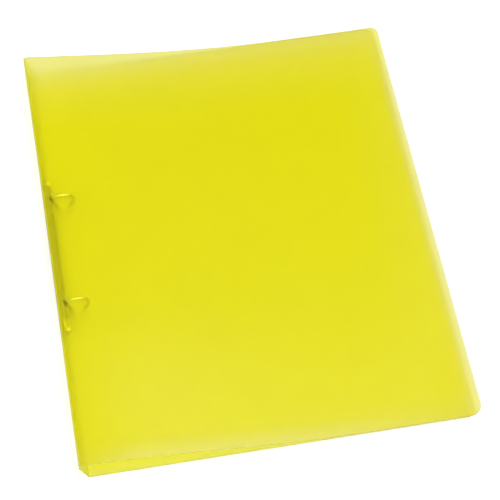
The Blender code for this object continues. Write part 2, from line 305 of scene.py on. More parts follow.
def make_lamp(name, place, size, watts):
    """A square lamp that looks at the middle of the binder."""
    lamp = bpy.data.objects.new(name, bpy.data.lights.new(name, "AREA"))
    lamp.data.size = size
    lamp.data.energy = watts
    lamp.location = place
    lamp.rotation_mode = "QUATERNION"
    lamp.rotation_quaternion = (-Vector(place)).to_track_quat("-Z", "Y")
    lamp.visible_transmission = False
    bpy.context.scene.collection.objects.link(lamp)


for lamp_name, lamp_values in LAMPS.items():
    make_lamp(lamp_name, **lamp_values)
print("lamps:", ", ".join(LAMPS))

# %% [markdown]
# ## Effects that several finishes share
#
# A node group holds an effect once, with named inputs and outputs, and each material sets its own
# values on it. Two are enough here. Cloudy noise in two sizes gives a slow drift and a fine grain,
# which every real surface has. Handling leaves short fine scratches: noise stretched along one
# direction, with only its peaks kept.

# %% Shared node groups
CLOUD_DETAIL = {"Drift": 3.0, "Grain": 2.0}
CLOUD_ROUGHNESS = 0.6
SCRATCH_DETAIL = 2.0
SCRATCH_WAVER = 0.3
SCRATCH_PEAKS = (0.6, 0.75)


def start_group(name, inputs, outputs):
    """A shader node group with a Place, float inputs (name: default) and float outputs."""
    group = bpy.data.node_groups.new(name, "ShaderNodeTree")
    group.interface.new_socket("Place", in_out="INPUT", socket_type="NodeSocketVector")
    for socket_name, default in inputs.items():
        socket = group.interface.new_socket(socket_name, in_out="INPUT", socket_type="NodeSocketFloat")
        socket.default_value = default
    for socket_name in outputs:
        group.interface.new_socket(socket_name, in_out="OUTPUT", socket_type="NodeSocketFloat")
    return group, group.nodes.new("NodeGroupInput"), group.nodes.new("NodeGroupOutput")


def make_clouds_group():
    """Drift: slow clouds. Grain: fine noise. Both run from 0 to 1."""
    scales = {"Drift Scale": 30.0, "Grain Scale": 1500.0}
    group, given, result = start_group("clouds", scales, list(CLOUD_DETAIL))
    for output, detail in CLOUD_DETAIL.items():
        noise = add_node(
            group,
            "ShaderNodeTexNoise",
            Vector=given.outputs["Place"],
            Scale=given.outputs[output + " Scale"],
            Detail=detail,
            Roughness=CLOUD_ROUGHNESS,
        )
        group.links.new(noise.outputs["Fac"], result.inputs[output])
    return group


def make_scratches_group():
    """Scratches: thin lines along Y, 0 to Amount. A small Stretch makes them long."""
    values = {"Scale": 400.0, "Stretch": 0.03, "Amount": 0.3}
    group, given, result = start_group("scratches", values, ["Scratches"])
    stretch = add_node(group, "ShaderNodeCombineXYZ", X=1.0, Y=given.outputs["Stretch"], Z=1.0)
    stretched = add_node(group, "ShaderNodeVectorMath", {"operation": "MULTIPLY"})
    group.links.new(given.outputs["Place"], stretched.inputs[0])
    group.links.new(stretch.outputs[0], stretched.inputs[1])
    noise = add_node(
        group,
        "ShaderNodeTexNoise",
        Vector=stretched.outputs[0],
        Scale=given.outputs["Scale"],
        Detail=SCRATCH_DETAIL,
        Distortion=SCRATCH_WAVER,
    )
    peaks = add_range(group, noise.outputs["Fac"], *SCRATCH_PEAKS)
    scratches = add_math(group, "MULTIPLY", peaks, given.outputs["Amount"])
    group.links.new(scratches, result.inputs["Scratches"])
    return group


def use_group(tree, group, **inputs):
    return add_node(tree, "ShaderNodeGroup", {"node_tree": group}, **inputs)


CLOUDS = make_clouds_group()
SCRATCHES = make_scratches_group()
print("node groups:", CLOUDS.name, "and", SCRATCHES.name)

# %% [markdown]
# ## The frosted sheet: its colours
#
# The polypropylene is dyed clear yellow. Light crosses both covers on its way from the white floor, so
# two covers give the full yellow and one a paler one. Towards its cut edges the sheet is paler still,
# because light runs inside it and comes out there. That border has to follow the sheet when it folds,
# so it isn't painted in space: the pattern is drawn on the flat blank, which each sheet carries as a
# UV map in metres. X on the blank runs from the back crease to the fore edge and Y from tail to head.

# %% Sheet colours
FLAT_BLANK = "flat_blank"
WRAP_TINT = {
    # spine: painted shade, a deeper and darker yellow on the spine, along the fold and beside the mechanism.
    "spine": (0.955, 0.935, 0.075, 1),
    "yellow": (0.985, 0.964, 0.095, 1),
    "deep": (0.98, 0.958, 0.085, 1),
    "edges": (
        ("fore", 13, (0.93, 0.905, 0.42, 1)),
        ("head", 75, (0.967, 0.942, 0.3, 1)),
        ("tail", 30, (0.967, 0.942, 0.35, 1)),
    ),
}
BACK_TINT = {
    "yellow": (0.985, 0.964, 0.042, 1),
    "deep": (0.98, 0.958, 0.036, 1),
    "edges": (
        ("fore", 30, (0.98, 0.955, 0.12, 1)),
        ("fore", 16, (0.98, 0.955, 0.46, 1)),
        ("fore", 6, (0.98, 0.955, 0.75, 1)),
        ("head", 75, (0.98, 0.955, 0.25, 1)),
        ("head", 26, (0.98, 0.955, 0.6, 1)),
        ("tail", 14, (0.967, 0.942, 0.16, 1)),
    ),
}


def add_edges(tree, colour, axes, edges, fore_edge, half_length):
    """Pales the colour towards the cut edges of the blank.

    edges gives for each border its edge, its reach in mm and its colour, the widest first.
    """
    across, along = axes.outputs["X"], axes.outputs["Y"]
    lines = {"fore": (across, fore_edge), "head": (along, half_length), "tail": (along, -half_length)}
    for edge, reach, pale in edges:
        value, line = lines[edge]
        inward = reach * MM if line < 0 else -reach * MM
        near = add_range(tree, value, line + inward, line)
        colour = add_mix(tree, add_math(tree, "MULTIPLY", near, near), colour, pale)
    return colour


print("front sheet colour:", WRAP_TINT["yellow"][:3], "back sheet colour:", BACK_TINT["yellow"][:3])

# %% [markdown]
# ## The frosted sheet: frost, painted ring highlights and haze
#
# The matt roll hasn't pressed evenly. The frost is coarser towards the head, and on the front cover also
# along the fore edge, so what lies below blurs more there. Over the crowns of the rings the front cover is
# painted a paler yellow, as painted highlight: it pales the rings' highlights seen through the cover. The
# front cover's tail edge stands up into the light and looks milky. Light scattered inside the plastic
# could be traced, but a very faint glow gives that look at once.

# %% Sheet frost, painted ring highlights and haze
SHEET_ROUGHNESS = 0.31
COARSE_ROUGHNESS = 0.5
COARSE_HEAD = (70 * MM, 15 * MM)
COARSE_FORE = (45 * MM, 12 * MM)
RING_PLACE = 40.0 * MM
# Painted highlight: a paler yellow over the ring crowns, shifted a little towards the tail so that it lies on the
# highlights seen through the cover.
RING_HIGHLIGHT_YELLOW = (0.985, 0.96, 0.25, 1)
RING_HIGHLIGHT_MIDDLE = 32.5 * MM
RING_HIGHLIGHT_SHIFT = 1.2 * MM
RING_HIGHLIGHT_LENGTH = (7.5 * MM, 4.5 * MM)
RING_HIGHLIGHT_WIDTH = (2.2 * MM, 0.5 * MM)
NO_HAZE = (0, 0, 0, 1)
TAIL_HAZE = (0.003, 0.003, 0.045, 1)
HAZE_REACH = 14.0 * MM
HAZE_OFF_SPINE = (20 * MM, 60 * MM)
HAZE_OFF_FORE = (10 * MM, 130 * MM)


def add_frost(tree, axes, fore_edge, half_length, is_wrap):
    """Roughness over the blank, coarser at the head and on the wrap sheet also at the fore edge."""
    start, end = (half_length - inset for inset in COARSE_HEAD)
    frost = add_range(tree, axes.outputs["Y"], start, end, SHEET_ROUGHNESS, COARSE_ROUGHNESS)
    if not is_wrap:
        return frost
    near_fore = add_range(tree, axes.outputs["X"], *(fore_edge - inset for inset in COARSE_FORE))
    return add_blend(tree, near_fore, frost, COARSE_ROUGHNESS)


def add_painted_ring_highlights(tree, colour, axes):
    """Painted highlight: a paler yellow over the crowns of the two rings, which pales their highlights."""
    across = add_math(tree, "ABSOLUTE", add_math(tree, "SUBTRACT", axes.outputs["X"], RING_HIGHLIGHT_MIDDLE))
    from_middle = add_math(tree, "ABSOLUTE", add_math(tree, "ADD", axes.outputs["Y"], RING_HIGHLIGHT_SHIFT))
    along = add_math(tree, "ABSOLUTE", add_math(tree, "SUBTRACT", from_middle, RING_PLACE))
    in_length = add_range(tree, across, *RING_HIGHLIGHT_LENGTH)
    in_width = add_range(tree, along, *RING_HIGHLIGHT_WIDTH)
    return add_mix(tree, add_math(tree, "MULTIPLY", in_length, in_width), colour, RING_HIGHLIGHT_YELLOW)


def add_haze(tree, axes, fore_edge, half_length):
    """The milky light along the tail edge of the front cover, away from the spine and the fore edge."""
    near_tail = add_range(tree, axes.outputs["Y"], HAZE_REACH - half_length, -half_length)
    off_spine = add_range(tree, axes.outputs["X"], *HAZE_OFF_SPINE)
    off_fore = add_range(tree, axes.outputs["X"], *(fore_edge - inset for inset in HAZE_OFF_FORE))
    hazy = add_math(tree, "MULTIPLY", near_tail, add_math(tree, "MULTIPLY", off_spine, off_fore))
    return add_mix(tree, hazy, NO_HAZE, TAIL_HAZE)


print("sheet roughness:", SHEET_ROUGHNESS, "and", COARSE_ROUGHNESS, "where it is coarser")

# %% [markdown]
# ## The frosted sheet: its material
#
# The sheet could be faked with a half transparent colour, but then things behind it would never blur.
# A rough glass does what the real sheet does: it takes the colour of what lies behind, and blurs it
# the more the further away it is. So the rings just under the cover read sharp and the plate below
# reads soft. Its index is set lower than the plastic's own, because a matt face mirrors less than a
# polished one. The spine's is lower still: it is seen at a flat angle, where rough glass loses light
# and would leave a dark band.

# %% Sheet material
SHEET_IOR = 1.3
SPINE_IOR = 1.12
# Painted shade: the spine's darker yellow comes in between 21 and 15 mm from the back crease.
SPINE_SHADE_BAND = (21 * MM, 15 * MM)
SHEET_CLOUDS = {"Drift_Scale": 24.0, "Grain_Scale": 1400.0}
SHEET_SCRATCHES = {"Scale": 260.0, "Stretch": 0.12, "Amount": 0.5}
CLOUD_BAND = (0.3, 0.7)
FROST_DRIFT_BAND = (0.2, 0.8)
FROST_DRIFT = 0.02
HAZE_STRENGTH = 1.0
GRAIN_STRENGTH = 0.25
GRAIN_DEPTH = 0.02 * MM


def make_sheet_material(name, tint, fore_edge, half_length, is_wrap=False, index=SHEET_IOR):
    """is_wrap adds what only the sheet of the spine and the front cover has."""
    material, tree, output = start_material(name)
    place = add_node(tree, "ShaderNodeUVMap", {"uv_map": FLAT_BLANK}).outputs[0]
    axes = add_node(tree, "ShaderNodeSeparateXYZ", Vector=place)
    clouds = use_group(tree, CLOUDS, Place=place, **SHEET_CLOUDS)
    scratches = use_group(tree, SCRATCHES, Place=place, **SHEET_SCRATCHES)
    drift = add_range(tree, clouds.outputs["Drift"], *CLOUD_BAND)
    colour = add_mix(tree, drift, tint["yellow"], tint["deep"])
    colour = add_edges(tree, colour, axes, tint["edges"], fore_edge, half_length)
    if is_wrap:
        # Painted shade: the spine takes a deeper, darker yellow.
        spine_shade = add_range(tree, axes.outputs["X"], *SPINE_SHADE_BAND)
        colour = add_mix(tree, spine_shade, colour, tint["spine"])
        # Painted highlight: a paler yellow over the ring crowns.
        colour = add_painted_ring_highlights(tree, colour, axes)
    frost = add_frost(tree, axes, fore_edge, half_length, is_wrap)
    uneven = add_range(tree, clouds.outputs["Drift"], *FROST_DRIFT_BAND, -FROST_DRIFT, FROST_DRIFT)
    height = add_math(tree, "SUBTRACT", clouds.outputs["Grain"], scratches.outputs["Scratches"])
    bump = add_node(tree, "ShaderNodeBump", Strength=GRAIN_STRENGTH, Distance=GRAIN_DEPTH, Height=height)
    shader = add_node(
        tree,
        "ShaderNodeBsdfPrincipled",
        Base_Color=colour,
        Roughness=add_math(tree, "ADD", uneven, frost),
        IOR=index,
        Normal=bump.outputs[0],
        Transmission_Weight=1.0,
    )
    if is_wrap:
        feed(tree, shader.inputs["Emission Color"], add_haze(tree, axes, fore_edge, half_length))
        feed(tree, shader.inputs["Emission Strength"], HAZE_STRENGTH)
    tree.links.new(shader.outputs[0], output.inputs["Surface"])
    return material


print("sheet index:", SHEET_IOR, "and", SPINE_IOR, "on the spine")

# %% [markdown]
# ## The frosted sheet: its cut edge
#
# The light that runs inside the sheet comes out at its cut edge, which is why that edge looks brighter
# than the faces. Tracing it through the glass would take far too many bounces, so the edge has a
# material of its own: plain yellow plastic, finely uneven from the knife, with some light of its own.

# %% Cut edge
RIM_YELLOW = (0.52, 0.497, 0.13, 1)
RIM_YELLOW_DULL = (0.46, 0.44, 0.12, 1)
RIM_LIGHT = (0.8, 0.765, 0.2, 1)
RIM_GLOW = 0.4
RIM_ROUGHNESS = (0.42, 0.6)
RIM_CLOUDS = {"Drift_Scale": 60.0, "Grain_Scale": 1400.0}


def make_rim_material():
    material, tree, output = start_material("sheet_cut_edge")
    place = add_node(tree, "ShaderNodeUVMap", {"uv_map": FLAT_BLANK}).outputs[0]
    clouds = use_group(tree, CLOUDS, Place=place, **RIM_CLOUDS)
    drift = add_range(tree, clouds.outputs["Drift"], *CLOUD_BAND)
    shader = add_node(
        tree,
        "ShaderNodeBsdfPrincipled",
        Base_Color=add_mix(tree, drift, RIM_YELLOW, RIM_YELLOW_DULL),
        Roughness=add_range(tree, clouds.outputs["Grain"], *CLOUD_BAND, *RIM_ROUGHNESS),
        Emission_Color=RIM_LIGHT,
        Emission_Strength=RIM_GLOW,
    )
    tree.links.new(shader.outputs[0], output.inputs["Surface"])
    return material


RIM = make_rim_material()
print("material:", RIM.name)

# %% [markdown]
# ## Steel
#
# The mechanism is pressed and bent from steel, then plated with bright nickel: a warm grey mirror with
# a faint haze. One even grey would look new and flat, so slow clouds and fine scratches mix in a
# duller, rougher tone. The scratches run along the length, as drawn and pressed steel shows them. The
# blades under the plate are given a darker, duller steel, as painted shade in the ring slots. A finish may
# also bring a function that paints shade into its colour, which the arched plate will use.

# %% Steel materials
STEEL_CLOUDS = {"Drift_Scale": 140.0, "Grain_Scale": 5200.0}
STEEL_SCRATCH_SCALE = 1500.0
WORN_BAND = (0.45, 0.8)
WORN_MOST = 0.35
WORN_ROUGHNESS = 0.22
STEEL_GRAIN_STRENGTH = 0.25
STEEL_GRAIN_DEPTH = 0.01 * MM
DRAWN_FINISH = {
    "bright": (0.88, 0.86, 0.81, 1),
    "dull": (0.68, 0.66, 0.62, 1),
    "roughness": 0.16,
    "stretch": 0.4,
    "amount": 0.3,
}
# Painted shade: the blades' darker, duller steel makes the ring slots read dark.
SHADED_BLADE_FINISH = {
    "bright": (0.7, 0.69, 0.65, 1),
    "dull": (0.56, 0.55, 0.52, 1),
    "roughness": 0.4,
    "stretch": 0.02,
    "amount": 0.4,
}


def make_steel_material(name, bright, dull, roughness, stretch, amount, shade=None):
    """stretch and amount are those of the scratches. shade(tree, place, colour) gives a new colour with painted
    shade.
    """
    material, tree, output = start_material(name)
    place = tree.nodes.new("ShaderNodeTexCoord").outputs["Object"]
    clouds = use_group(tree, CLOUDS, Place=place, **STEEL_CLOUDS)
    scratches = use_group(
        tree, SCRATCHES, Place=place, Scale=STEEL_SCRATCH_SCALE, Stretch=stretch, Amount=amount
    )
    patches = add_range(tree, clouds.outputs["Drift"], *WORN_BAND, 0.0, WORN_MOST)
    worn = add_math(tree, "ADD", patches, scratches.outputs["Scratches"], clamp=True)
    colour = add_mix(tree, worn, bright, dull)
    if shade:
        colour = shade(tree, place, colour)
    rough = add_math(tree, "ADD", add_math(tree, "MULTIPLY", worn, WORN_ROUGHNESS), roughness)
    height = add_math(tree, "SUBTRACT", clouds.outputs["Grain"], scratches.outputs["Scratches"])
    bump = add_node(
        tree, "ShaderNodeBump", Strength=STEEL_GRAIN_STRENGTH, Distance=STEEL_GRAIN_DEPTH, Height=height
    )
    shader = add_node(
        tree,
        "ShaderNodeBsdfPrincipled",
        Base_Color=colour,
        Roughness=rough,
        Metallic=1.0,
        Normal=bump.outputs[0],
    )
    tree.links.new(shader.outputs[0], output.inputs["Surface"])
    return material


DRAWN_STEEL = make_steel_material("drawn_nickel_steel", **DRAWN_FINISH)
SHADED_BLADE_STEEL = make_steel_material("shaded_blade_steel", **SHADED_BLADE_FINISH)
print("materials:", DRAWN_STEEL.name, "and", SHADED_BLADE_STEEL.name)

# %% [markdown]
# ## The sheet's sizes
#
# Everything about the sheet is read from the frame: its thickness from the back cover's box, the two
# crease lines from the joints, the fore edges from the boxes. They could be typed in again, but then
# they would go wrong as soon as the solid model changed.

# %% Sheet sizes
back_low, back_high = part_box("back_cover")
front_low, front_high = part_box("front_cover")
BACK_CREASE = Vector(joints["back_fold"]["pos_m"])
FRONT_CREASE = Vector(joints["front_fold"]["pos_m"])
SHEET = back_high.z - back_low.z
HALF_LENGTH = back_high.y
FOLD_RISE = FRONT_CREASE.z - BACK_CREASE.z
SPINE_LEAN = math.atan2(BACK_CREASE.x - FRONT_CREASE.x, FOLD_RISE)
FRONT_REST = front_low.z + SHEET / 2
print(f"sheet {SHEET / MM:.2f} mm, spine leans {math.degrees(SPINE_LEAN):.1f} degrees")

# %% [markdown]
# ## How the front cover lies
#
# The front cover is stiff enough to keep a shape of its own. Over the rings it leaves the fold level
# and comes down in a half wave. Past the head ring it falls more freely. Past the tail ring the fold
# itself sinks and leans out. A simulation could find such a lie, but it is seen clearly in the
# picture, so plain curves give it directly.

# %% Lie of the front cover
RING_HOLD = 9.0 * MM
DRAPE_LENGTH = 180.0 * MM
HEAD_FALL = 0.95
HEAD_LIFT = 0.6 * MM
TAIL_SINK = 3.3 * MM
TAIL_EXTRA_LEAN = math.radians(5.0)
FOLD_PUSH = 0.2 * MM
FOLD_PUSH_HEAD = 0.65 * MM
FOLD_PUSH_TAIL = 0.25 * MM


def smooth_share(value):
    """A smooth step from 0 to 1."""
    value = min(max(value, 0.0), 1.0)
    return value * value * (3 - 2 * value)


def past_ring(along):
    """0 between the rings, growing to 1 at the head and the tail. along is positive at the head."""
    start = RING_PLACE + RING_HOLD
    return smooth_share((abs(along) - start) / (HALF_LENGTH - start))


def fold_corner(along):
    """Where the spine and the front cover would meet in a sharp corner, as (x, z)."""
    head = past_ring(along) if along > 0 else 0.0
    tail = past_ring(along) if along < 0 else 0.0
    rise = FOLD_RISE + HEAD_LIFT * head - TAIL_SINK * tail
    lean = SPINE_LEAN + TAIL_EXTRA_LEAN * tail
    push = FOLD_PUSH + FOLD_PUSH_HEAD * head + FOLD_PUSH_TAIL * tail
    return BACK_CREASE.x - math.tan(lean) * rise - push, BACK_CREASE.z + rise


def cover_height(reach, along):
    """Mid-height of the front cover at a reach from its fold."""
    top = fold_corner(along)[1]
    share = min(reach / DRAPE_LENGTH, 1.0)
    held = (1 + math.cos(math.pi * share)) / 2
    falling = 1 - math.sin(math.pi / 2 * share)
    fall = HEAD_FALL * past_ring(along) if along > 0 else 0.0
    return FRONT_REST + (top - FRONT_REST) * (held * (1 - fall) + falling * fall)


for end_name, end_place in (("head", HALF_LENGTH), ("tail", -HALF_LENGTH)):
    print(f"fold at the {end_name}: {fold_corner(end_place)[1] / MM:.1f} mm high")

# %% [markdown]
# ## Helpers for meshes
#
# A sheet is cut as a flat blank: four corners, two of them rounded, then cut across wherever it will
# bend. Only afterwards is it folded, by moving each vertex to its place. It could be modelled bent
# from the start, but this is how the real one is made, and it keeps the grid of faces even. The wall
# comes from a Solidify modifier and the softened edge from a Bevel modifier.

# %% Mesh helpers
NEAR = 0.001 * MM
SMOOTH_ANGLE = math.radians(40.0)
CORNER_STEPS = 8
EDGE_STEPS = 2
EDGE_ANGLE = math.radians(50)


def cut_blank(length, tail_radius, head_radius):
    """A flat blank, 0 to length in X and the sheet's length in Y, rounded at its far corners."""
    bm = bmesh.new()
    corners = ((0, -HALF_LENGTH), (length, -HALF_LENGTH), (length, HALF_LENGTH), (0, HALF_LENGTH))
    verts = [bm.verts.new((x, y, 0)) for x, y in corners]
    bm.faces.new(verts)
    for corner, radius in ((verts[1], tail_radius), (verts[2], head_radius)):
        bmesh.ops.bevel(
            bm,
            geom=[corner],
            offset=radius,
            affect="VERTICES",
            segments=CORNER_STEPS,
            profile=0.5,
            material=-1,
        )
    return bm


def cut_across(bm, normal, places):
    """Cuts the mesh by a plane at each place along the normal."""
    for place in places:
        bmesh.ops.bisect_plane(
            bm,
            geom=bm.verts[:] + bm.edges[:] + bm.faces[:],
            plane_co=Vector(normal) * place,
            plane_no=normal,
            dist=NEAR,
        )


def spread(low, high, count):
    """count evenly spread places strictly between low and high."""
    return [low + (high - low) * step / (count + 1) for step in range(1, count + 1)]


def place_piece(name, bm, material):
    """Turns the mesh into an object at the origin, smooth apart from its sharp edges."""
    mesh = bpy.data.meshes.new(name)
    bm.to_mesh(mesh)
    bm.free()
    mesh.shade_smooth()
    mesh.set_sharp_from_angle(angle=SMOOTH_ANGLE)
    mesh.materials.append(material)
    piece = bpy.data.objects.new(name, mesh)
    bpy.context.scene.collection.objects.link(piece)
    return piece


def give_wall(piece, thickness, edge):
    """Thickness to both sides of the surface, and softened edges. Gives the Solidify modifier back."""
    wall = piece.modifiers.new("wall", "SOLIDIFY")
    wall.thickness = thickness
    wall.offset = 0
    wall.use_even_offset = True
    bevel = piece.modifiers.new("soft_edge", "BEVEL")
    bevel.width = edge
    bevel.segments = EDGE_STEPS
    bevel.limit_method = "ANGLE"
    bevel.angle_limit = EDGE_ANGLE
    piece.modifiers.new("even_shading", "WEIGHTED_NORMAL")
    return wall


print("three places spread over 0 to 1:", spread(0, 1, 3))

# %% [markdown]
# ## The scored sheet
#
# The two sheets share three things. Each carries its flat blank as a UV map. Each has a wall with a
# cut edge in its own material, which Solidify picks one slot after that of the face. And each ends at
# the back crease in a thin web, where the real sheet was scored so that it folds: a vertex group tells
# Solidify where the sheet has its full thickness.

# %% Scored sheet
EDGE_SOFT = 0.15 * MM
CREASE_GAP = 0.1 * MM
CREASE_THIN = 0.5
CREASE_WIDTH = 1.2 * MM
RIM_SLOT_STEP = 1


def draw_flat_blank(bm):
    """Keeps each vertex's place on the flat blank as a UV map, before the blank is folded."""
    layer = bm.loops.layers.uv.new(FLAT_BLANK)
    for face in bm.faces:
        for loop in face.loops:
            loop[layer].uv = loop.vert.co.xy


def scored_verts(bm):
    """For each vertex of the flat blank, whether it lies on the scored edge."""
    return [vert.co.x < NEAR for vert in bm.verts]


def give_sheet_wall(piece, scored):
    group = piece.vertex_groups.new(name="full_sheet")
    for index, on_crease in enumerate(scored):
        group.add([index], 0.0 if on_crease else 1.0, "REPLACE")
    piece.data.materials.append(RIM)
    wall = give_wall(piece, SHEET, EDGE_SOFT)
    wall.material_offset_rim = RIM_SLOT_STEP
    wall.vertex_group = group.name
    wall.thickness_vertex_group = CREASE_THIN


print(f"sheet thins to {SHEET * CREASE_THIN / MM:.2f} mm in the last {CREASE_WIDTH / MM:.1f} mm")

# %% [markdown]
# ## The back cover
#
# The back cover is the panel that lies flat on the floor. A box could stand for it, but it wouldn't
# have the rounded corners and the thin web at the crease. The web belongs to the crease line, so the
# spine turns beside it with hardly any gap.

# %% Back cover
CORNER_RADIUS = 6.0 * MM
BACK_COLUMNS = 24
BACK_ROWS = 31


def make_back_sheet():
    width = back_high.x - BACK_CREASE.x - CREASE_GAP
    bm = cut_blank(width, CORNER_RADIUS, CORNER_RADIUS)
    cut_across(bm, (1, 0, 0), [CREASE_WIDTH, *spread(CREASE_WIDTH, width, BACK_COLUMNS)])
    cut_across(bm, (0, 1, 0), spread(-HALF_LENGTH, HALF_LENGTH, BACK_ROWS))
    draw_flat_blank(bm)
    scored = scored_verts(bm)
    bmesh.ops.translate(bm, vec=BACK_CREASE + Vector((CREASE_GAP, 0, 0)), verts=bm.verts)
    material = make_sheet_material("frosted_back_sheet", BACK_TINT, width, HALF_LENGTH)
    piece = place_piece("back_sheet", bm, material)
    give_sheet_wall(piece, scored)
    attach(piece, "back_panel")
    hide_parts("back_cover")
    return piece


back_sheet = make_back_sheet()
print("back sheet:", len(back_sheet.data.polygons), "faces")

# %% [markdown]
# ## The fold between spine and front cover
#
# The back crease is sharp, but this fold is rounded. Along the blank there are three zones, the spine,
# the fold and the cover. The fold is a curve with its handle at the sharp corner, so it leaves the
# spine and joins the cover without a kink. A bevel could round the corner too, but here the rounding
# grows towards the head and the tail.

# %% Soft fold
SPINE_ZONE = 18.0 * MM
FOLD_ZONE = 5.0 * MM
FOLD_SOFTNESS = 2.2 * MM
FOLD_SOFTNESS_HEAD = 1.2 * MM
FOLD_SOFTNESS_TAIL = 2.6 * MM
COVER_ZONE = front_high.x - FRONT_CREASE.x - FOLD_SOFTNESS
FORE_EDGE_SKEW = 0.4 * MM
CORNER_CURL = 0.8 * MM
CURL_REACH = 22.0 * MM


def fold_softness(along):
    extra = FOLD_SOFTNESS_HEAD if along > 0 else FOLD_SOFTNESS_TAIL
    return FOLD_SOFTNESS + extra * past_ring(along)


def corner_curl(x, along):
    """The far head corner stands up a little."""
    across = smooth_share((x - (front_high.x - CURL_REACH)) / CURL_REACH)
    lengthwise = smooth_share((along - (HALF_LENGTH - CURL_REACH)) / CURL_REACH)
    return CORNER_CURL * across * lengthwise


def folded_place(run, along):
    """The place of a point of the flat blank after folding. run counts from the back crease."""
    corner_x, corner_z = fold_corner(along)
    corner = Vector((corner_x, along, corner_z))
    crease = Vector((BACK_CREASE.x, along, BACK_CREASE.z))
    soft = fold_softness(along)
    spine_way = (corner - crease).normalized()
    spine_end = corner - spine_way * soft
    cover_start = Vector((corner_x + soft, along, cover_height(soft, along)))
    if run <= SPINE_ZONE:
        return (crease + spine_way * CREASE_GAP).lerp(spine_end, run / SPINE_ZONE)
    if run <= SPINE_ZONE + FOLD_ZONE:
        share = (run - SPINE_ZONE) / FOLD_ZONE
        return spine_end.lerp(corner, share).lerp(corner.lerp(cover_start, share), share)
    share = (run - SPINE_ZONE - FOLD_ZONE) / COVER_ZONE
    fore_edge = front_high.x - FORE_EDGE_SKEW * along / HALF_LENGTH
    x = cover_start.x + (fore_edge - cover_start.x) * share
    return Vector((x, along, cover_height(x - corner_x, along) + corner_curl(x, along)))


fold_middle = folded_place(SPINE_ZONE + FOLD_ZONE / 2, 0.0)
print("middle of the fold at", [round(value / MM, 1) for value in fold_middle], "mm")

# %% [markdown]
# ## Spine and front cover
#
# The faces of the spine take a slot of their own, with the lower index.

# %% Spine and front cover
TAIL_CORNER_RADIUS = 8.0 * MM
SPINE_COLUMNS = 7
FOLD_COLUMNS = 9
COVER_COLUMNS = 72
WRAP_ROWS = 89
SPINE_SLOT = 2


def make_wrap_sheet():
    fold_end = SPINE_ZONE + FOLD_ZONE
    total = fold_end + COVER_ZONE
    bm = cut_blank(total, TAIL_CORNER_RADIUS, CORNER_RADIUS)
    runs = [CREASE_WIDTH, *spread(CREASE_WIDTH, SPINE_ZONE, SPINE_COLUMNS), SPINE_ZONE]
    runs += [*spread(SPINE_ZONE, fold_end, FOLD_COLUMNS), fold_end]
    runs += spread(fold_end, total, COVER_COLUMNS)
    cut_across(bm, (1, 0, 0), runs)
    cut_across(bm, (0, 1, 0), spread(-HALF_LENGTH, HALF_LENGTH, WRAP_ROWS))
    draw_flat_blank(bm)
    scored = scored_verts(bm)
    for face in bm.faces:
        if face.calc_center_median().x < SPINE_ZONE:
            face.material_index = SPINE_SLOT
    for vert in bm.verts:
        vert.co = folded_place(vert.co.x, vert.co.y)
    looks = {"tint": WRAP_TINT, "fore_edge": total, "half_length": HALF_LENGTH, "is_wrap": True}
    piece = place_piece("wrap_sheet", bm, make_sheet_material("frosted_wrap_sheet", **looks))
    give_sheet_wall(piece, scored)
    piece.data.materials.append(make_sheet_material("frosted_spine", index=SPINE_IOR, **looks))
    piece.data.materials.append(RIM)
    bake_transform(piece)
    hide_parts("spine", "front_cover")
    return piece


wrap_sheet = make_wrap_sheet()
print("spine and front cover:", len(wrap_sheet.data.polygons), "faces")

# %% [markdown]
# ## The mechanism's own frame
#
# The mechanism sits square on the leaning spine, so its pieces are easiest to model lying down and
# are turned into place at the end. In its own frame X is the height above the spine's inner face, Y
# runs along the binder and Z across the spine. Its place comes from the two lines that the jaws turn
# about, which the joints give, and the rings' height from the first opening that the record keeps
# free, which is the loop of the head ring.

# %% Mechanism frame
PIVOT_HEIGHT = 1.5 * MM
front_pivot = Vector(joints["front_jaw_swing"]["pos_m"])
back_pivot = Vector(joints["back_jaw_swing"]["pos_m"])
across = (front_pivot - back_pivot).normalized()
outward = Vector((across.z, 0, -across.x))
seat = (front_pivot + back_pivot) / 2 - outward * PIVOT_HEIGHT
MECHANISM = Matrix(
    (
        (outward.x, 0, across.x, seat.x),
        (outward.y, 1, across.y, seat.y),
        (outward.z, 0, across.z, seat.z),
        (0, 0, 0, 1),
    )
)
loop_low, loop_high = record["physics"]["openings"][0]["box_m"]
ring_middle = (Vector(loop_low) + Vector(loop_high)) / 2
RING_HEIGHT = (ring_middle - seat).dot(outward)
print(f"mechanism seat {[round(value / MM, 2) for value in seat]} mm, rings {RING_HEIGHT / MM:.2f} mm up")

# %% [markdown]
# ## The arched plate: how it is pressed
#
# The plate is pressed from a flat blank: slots are punched for the rings, the long sides are turned
# down and in, and the ends are beaten flat into feet for the rivets. An extruded arch would lack the
# feet and the slots. So we do as the press does: each point of the blank has a place after pressing,
# and some cells of it are cut away. Across the blank the arch runs from -1 to 1, with a step more for
# the side and another for the lip under it.

# %% Pressing the plate
PLATE_LENGTH = 118.0 * MM
PLATE_WIDTH = 12.4 * MM
PLATE_RISE = 3.7 * MM
PLATE_SHOULDER = 2.3 * MM
PLATE_STEEL = 0.7 * MM
PLATE_FOOT = 5.0 * MM
PLATE_FOOT_WIDTH = 9.0 * MM
PLATE_RAMP = 4.0 * MM
SEAT_GAP = 0.3 * MM
LIP_WIDTH = 1.0 * MM
FOOT_ROUNDING = 0.85
SIDE_STEP = 0.12
SIDE_RAMP_SHARE = 0.6
ARCH_HALF = PLATE_LENGTH / 2 - PLATE_FOOT - PLATE_RAMP
SIDE_END = ARCH_HALF + PLATE_RAMP * SIDE_RAMP_SHARE
SIDE_TOP = PLATE_SHOULDER - PLATE_STEEL / 2
SIDE_FOOT = SEAT_GAP + PLATE_STEEL / 2
SLOT_HALF = 1.7 * MM
SLOT_INNER = 1.75 * MM
SLOT_BOTTOM = 1.1 * MM
SLOT_START = math.asin(SLOT_INNER / (PLATE_WIDTH / 2)) / (math.pi / 2)
SLOT_END = 1 + SIDE_STEP * (SIDE_TOP - SLOT_BOTTOM) / (SIDE_TOP - SIDE_FOOT)


